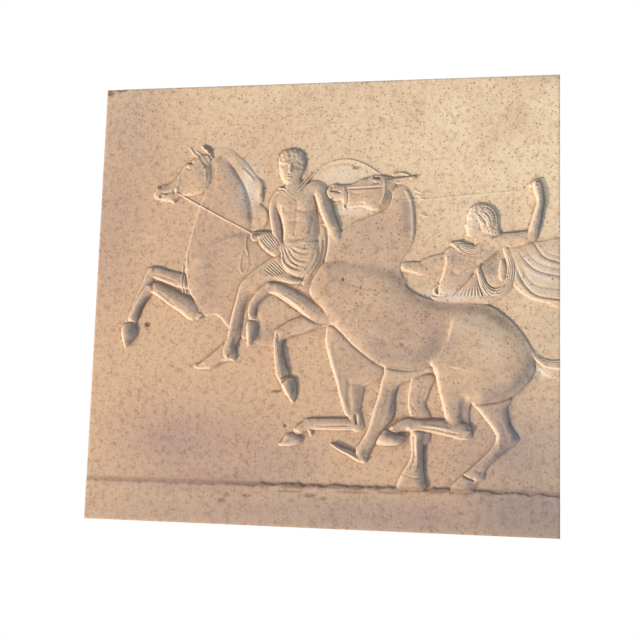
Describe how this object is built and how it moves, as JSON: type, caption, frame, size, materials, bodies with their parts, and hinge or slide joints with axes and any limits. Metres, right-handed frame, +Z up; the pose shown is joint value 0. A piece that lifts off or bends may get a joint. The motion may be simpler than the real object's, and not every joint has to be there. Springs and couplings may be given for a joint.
{
  "type": "plaster relief frieze",
  "caption": "Square-ended length of a cast plaster wall frieze: riders on galloping horses in low relief over a plain ground.",
  "frame": {"origin": "middle of the slab's flat back", "axes": "+X along the frieze to the right as seen from the front, +Z up, +Y into the wall behind; the relief faces -Y"},
  "size_m": [0.5232, 0.037, 0.5],
  "materials": {
    "plaster": "matte, warm cream to pinkish tan, unglazed and unpainted"
  },
  "bodies": {
    "root": {"relief_slab": "plaster"}
  },
  "joints": []
}
